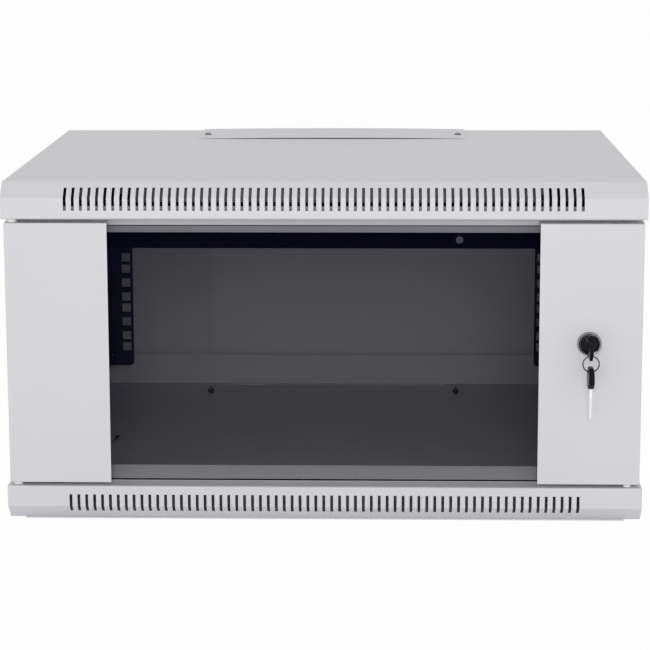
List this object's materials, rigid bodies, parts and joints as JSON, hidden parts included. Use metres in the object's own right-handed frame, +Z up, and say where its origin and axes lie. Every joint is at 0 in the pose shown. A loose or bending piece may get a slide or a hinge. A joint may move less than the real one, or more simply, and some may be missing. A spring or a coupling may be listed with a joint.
{
  "type": "wall mount network cabinet",
  "caption": "Wall mount steel cabinet for rack equipment: slotted covers, square-hole rails on depth braces, sliding cable plates and a lockable tinted glass door on pins.",
  "frame": {"origin": "centre of the footprint of the closed cabinet with its keys, on the plane of the base's underside", "axes": "+Z up, +Y to the wall, +X to the right of someone facing the door"},
  "size_m": [0.604, 0.4824, 0.3272],
  "materials": {
    "shell_grey": "fine light grey powder coat",
    "rail_black": "satin black powder coat",
    "tinted_glass": "tempered grey-tinted glass",
    "zinc_steel": "bright zinc-plated steel",
    "lock_chrome": "polished lock body",
    "lock_black": "black lock core",
    "key_plastic": "moulded black key head",
    "key_steel": "nickel-plated key blade",
    "ring_wire": "steel ring wire",
    "white_nylon": "white nylon",
    "foam_tape": "black bonding tape"
  },
  "bodies": {
    "cabinet": {"roof_cover": "shell_grey", "base_cover": "shell_grey", "front_sill": "shell_grey", "rear_sill": "shell_grey", "front_header": "shell_grey", "side_panel_left": "shell_grey", "side_panel_right": "shell_grey", "back_panel": "shell_grey", "lower_brace_left": "shell_grey", "upper_brace_left": "shell_grey", "lower_brace_right": "shell_grey", "upper_brace_right": "shell_grey", "left_side_screws": "zinc_steel", "right_side_screws": "zinc_steel", "floor_screws": "zinc_steel", "back_panel_screws": "zinc_steel", "earth_stud": "zinc_steel", "door_glide": "white_nylon"},
    "front_rails": {"front_rail_left": "rail_black", "front_rail_right": "rail_black", "front_cross_rail": "rail_black", "front_rail_left_bolts": "rail_black", "front_rail_right_bolts": "rail_black", "cross_rail_screws": "zinc_steel"},
    "rear_left_rail": {"rear_rail_left": "rail_black", "rear_rail_left_bolts": "rail_black"},
    "rear_right_rail": {"rear_rail_right": "rail_black", "rear_rail_right_bolts": "rail_black"},
    "roof_plate": {"roof_cable_plate": "shell_grey", "roof_plate_screws": "zinc_steel"},
    "floor_plate": {"floor_cable_plate": "shell_grey", "floor_plate_screws": "zinc_steel"},
    "door": {"door_panel_left": "shell_grey", "door_panel_right": "shell_grey", "door_glass": "tinted_glass", "left_glass_tape": "foam_tape", "right_glass_tape": "foam_tape", "top_hinge_bracket": "zinc_steel", "bottom_hinge_bracket": "zinc_steel", "bottom_hinge_pin": "zinc_steel", "top_hinge_washer": "white_nylon", "bottom_hinge_washer": "white_nylon", "hinge_spring": "zinc_steel", "lock_body": "lock_chrome", "lock_nut": "zinc_steel"},
    "hinge_latch": {"top_hinge_pin": "zinc_steel"},
    "lock_core": {"lock_plug": "lock_black", "lock_cam": "zinc_steel", "cam_screw": "zinc_steel"},
    "key": {"key_head": "key_plastic", "key_blade": "key_steel"},
    "ring": {"key_ring": "ring_wire"},
    "spare_key": {"spare_key_head": "key_plastic", "spare_key_blade": "key_steel"}
  },
  "joints": [
    {"name": "door_hinge", "type": "hinge", "parent": "cabinet", "child": "door", "pos_m": [-0.2907, -0.20075, 0.16], "axis": [0, 0, -1], "range_deg": [0, 180]},
    {"name": "hinge_pin_pull", "type": "slide", "parent": "door", "child": "hinge_latch", "axis": [0, 0, -1], "range_m": [0, 0.0055], "stiffness_N_per_m": 600, "springref_m": -0.008, "deforming": ["hinge_spring"]},
    {"name": "lock_turn", "type": "hinge", "parent": "door", "child": "lock_core", "pos_m": [0.2478, -0.20875, 0.1732], "axis": [0, -1, 0], "range_deg": [0, 90]},
    {"name": "key_withdraw", "type": "slide", "parent": "lock_core", "child": "key", "axis": [0, -1, 0], "range_m": [0, 0.03]},
    {"name": "ring_swing", "type": "hinge", "parent": "key", "child": "ring", "pos_m": [0.2478, -0.22925, 0.1657], "axis": [-1, 0, 0], "range_deg": [-10, 45]},
    {"name": "spare_key_swing", "type": "hinge", "parent": "ring", "child": "spare_key", "pos_m": [0.2478, -0.22925, 0.1507], "axis": [-1, 0, 0], "range_deg": [-10, 30]},
    {"name": "roof_plate_slide", "type": "slide", "parent": "cabinet", "child": "roof_plate", "axis": [0, -1, 0], "range_m": [0, 0.026]},
    {"name": "floor_plate_slide", "type": "slide", "parent": "cabinet", "child": "floor_plate", "axis": [0, -1, 0], "range_m": [0, 0.026]},
    {"name": "front_rails_slide", "type": "slide", "parent": "cabinet", "child": "front_rails", "axis": [0, 1, 0], "range_m": [0, 0.1]},
    {"name": "rear_left_rail_slide", "type": "slide", "parent": "cabinet", "child": "rear_left_rail", "axis": [0, -1, 0], "range_m": [0, 0.1]},
    {"name": "rear_right_rail_slide", "type": "slide", "parent": "cabinet", "child": "rear_right_rail", "axis": [0, -1, 0], "range_m": [0, 0.1]}
  ]
}
